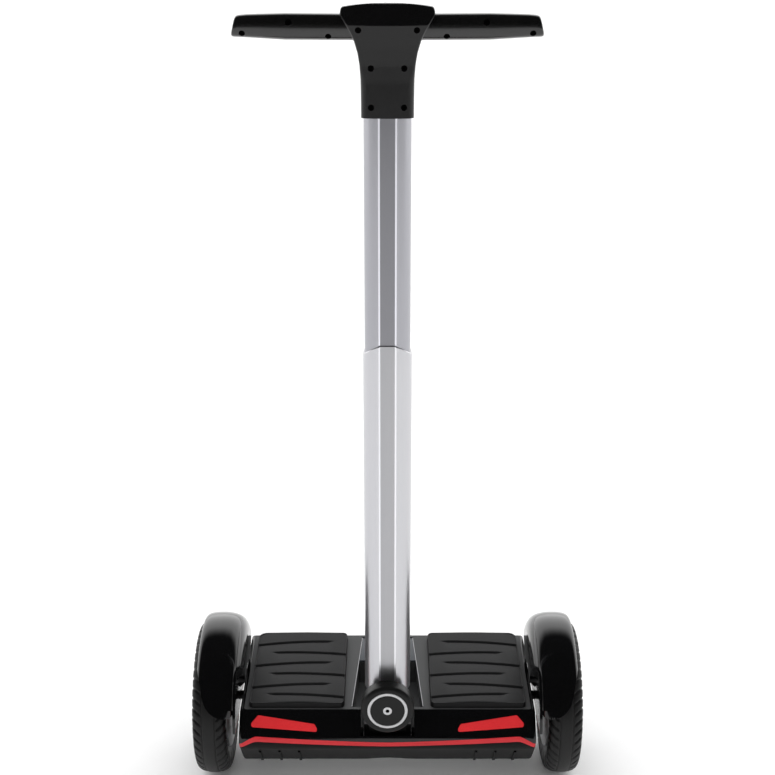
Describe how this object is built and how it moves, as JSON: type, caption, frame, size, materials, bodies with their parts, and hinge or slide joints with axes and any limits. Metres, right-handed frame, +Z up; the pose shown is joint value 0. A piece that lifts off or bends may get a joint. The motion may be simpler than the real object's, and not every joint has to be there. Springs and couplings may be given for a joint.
{
  "type": "self balancing scooter",
  "caption": "Self-balancing two-wheeled scooter with a grooved foot deck, round fenders, red trim and a telescopic silver steering pole with a T handlebar.",
  "frame": {"origin": "centre of the footprint, on the ground under the wheels", "axes": "+Z up, -Y the way it travels, +X the rider's left"},
  "size_m": [0.635, 0.2887, 1.2768],
  "materials": {
    "gloss_black_shell": "gloss",
    "satin_black_shell": "satin",
    "deck_grey": "satin",
    "tunnel_panel": "gloss",
    "red_trim": "gloss",
    "red_lens": "clear gloss",
    "frame_casting": "as cast",
    "battery_wrap": "shrink wrap",
    "circuit_board": "satin",
    "black_fitting": "satin",
    "flap_rubber": "matte",
    "mat_rubber": "matte, grooved",
    "tyre_rubber": "matte",
    "hub_metal": "satin",
    "steel": "turned",
    "stator_winding": "varnished",
    "anodised_silver": "satin anodised",
    "silver_trim": "polished",
    "grip_rubber": "satin",
    "handle_shell": "satin",
    "display_glass": "gloss",
    "button_rubber": "matte"
  },
  "bodies": {
    "base": {"lower_shell": "satin_black_shell", "upper_shell": "gloss_black_shell", "deck_plate": "deck_grey", "tunnel_cover": "tunnel_panel", "trim_strip_front": "red_trim", "trim_strip_rear": "red_trim", "chassis_frame": "frame_casting", "battery_pack": "battery_wrap", "controller_board": "circuit_board", "charge_socket": "black_fitting", "pivot_housing": "satin_black_shell", "pivot_bearing_front": "steel", "pivot_bearing_rear": "steel", "boss_cap": "satin_black_shell", "cap_ring": "silver_trim", "foot_sensor_left": "circuit_board", "front_light_left": "red_lens", "rear_light_left": "red_lens", "fender_left": "gloss_black_shell", "axle_clamp_left": "frame_casting", "stator_left": "stator_winding", "axle_left": "steel", "centring_buffer_left": "flap_rubber", "foot_sensor_right": "circuit_board", "front_light_right": "red_lens", "rear_light_right": "red_lens", "fender_right": "gloss_black_shell", "axle_clamp_right": "frame_casting", "stator_right": "stator_winding", "axle_right": "steel", "centring_buffer_right": "flap_rubber"},
    "column": {"steer_knuckle": "frame_casting", "outer_tube": "anodised_silver", "lock_housing": "black_fitting"},
    "lever": {"lock_lever": "black_fitting"},
    "head": {"inner_tube": "anodised_silver", "handle_front_shell": "handle_shell", "handle_rear_shell": "handle_shell", "handlebar_core": "steel", "grip_left": "grip_rubber", "grip_right": "grip_rubber", "display_panel": "display_glass"},
    "horn_key": {"horn_button": "button_rubber"},
    "power_key": {"power_button": "button_rubber"},
    "mode_key": {"mode_button": "button_rubber"},
    "flap": {"charge_flap": "flap_rubber"},
    "mat_left": {"foot_mat_left": "mat_rubber"},
    "wheel_left": {"tyre_left": "tyre_rubber", "hub_shell_left": "hub_metal", "hub_cover_left": "hub_metal", "magnet_ring_left": "steel", "bearing_outer_left": "steel", "bearing_inner_left": "steel"},
    "mat_right": {"foot_mat_right": "mat_rubber"},
    "wheel_right": {"tyre_right": "tyre_rubber", "hub_shell_right": "hub_metal", "hub_cover_right": "hub_metal", "magnet_ring_right": "steel", "bearing_outer_right": "steel", "bearing_inner_right": "steel"}
  },
  "joints": [
    {"name": "wheel_left_spin", "type": "hinge", "parent": "base", "child": "wheel_left", "pos_m": [0.2905, -0.00268, 0.127], "axis": [1, 0, 0], "continuous": true},
    {"name": "wheel_right_spin", "type": "hinge", "parent": "base", "child": "wheel_right", "pos_m": [-0.2905, -0.00268, 0.127], "axis": [1, 0, 0], "continuous": true},
    {"name": "foot_mat_left_press", "type": "slide", "parent": "base", "child": "mat_left", "axis": [0, 0, -1], "range_m": [0, 0.0015], "stiffness_N_per_m": 60000, "springref_m": -0.0002},
    {"name": "foot_mat_right_press", "type": "slide", "parent": "base", "child": "mat_right", "axis": [0, 0, -1], "range_m": [0, 0.0015], "stiffness_N_per_m": 60000, "springref_m": -0.0002},
    {"name": "steering_tilt", "type": "hinge", "parent": "base", "child": "column", "pos_m": [0, -0.08268, 0.191], "axis": [0, 0.999, -0.0436], "range_deg": [-12, 12], "stiffness_Nm_per_rad": 60},
    {"name": "pole_height", "type": "slide", "parent": "column", "child": "head", "axis": [0, 0.0436, 0.999], "range_m": [-0.32, 0]},
    {"name": "height_lock_lever", "type": "hinge", "parent": "column", "child": "lever", "pos_m": [0, -0.02146, 0.74486], "axis": [1, 0, 0], "range_deg": [0, 110]},
    {"name": "horn_button_press", "type": "slide", "parent": "head", "child": "horn_key", "axis": [0, -0.6303, -0.7763], "range_m": [0, 0.0012], "stiffness_N_per_m": 500, "springref_m": -0.0004},
    {"name": "power_button_press", "type": "slide", "parent": "head", "child": "power_key", "axis": [0, -0.6303, -0.7763], "range_m": [0, 0.0012], "stiffness_N_per_m": 500, "springref_m": -0.0004},
    {"name": "mode_button_press", "type": "slide", "parent": "head", "child": "mode_key", "axis": [0, -0.6303, -0.7763], "range_m": [0, 0.0012], "stiffness_N_per_m": 500, "springref_m": -0.0004},
    {"name": "charge_flap_open", "type": "hinge", "parent": "base", "child": "flap", "pos_m": [0, 0.14268, 0.13266], "axis": [-1, 0, 0], "range_deg": [0, 120], "stiffness_Nm_per_rad": 0.02, "springref_deg": -8.59}
  ]
}
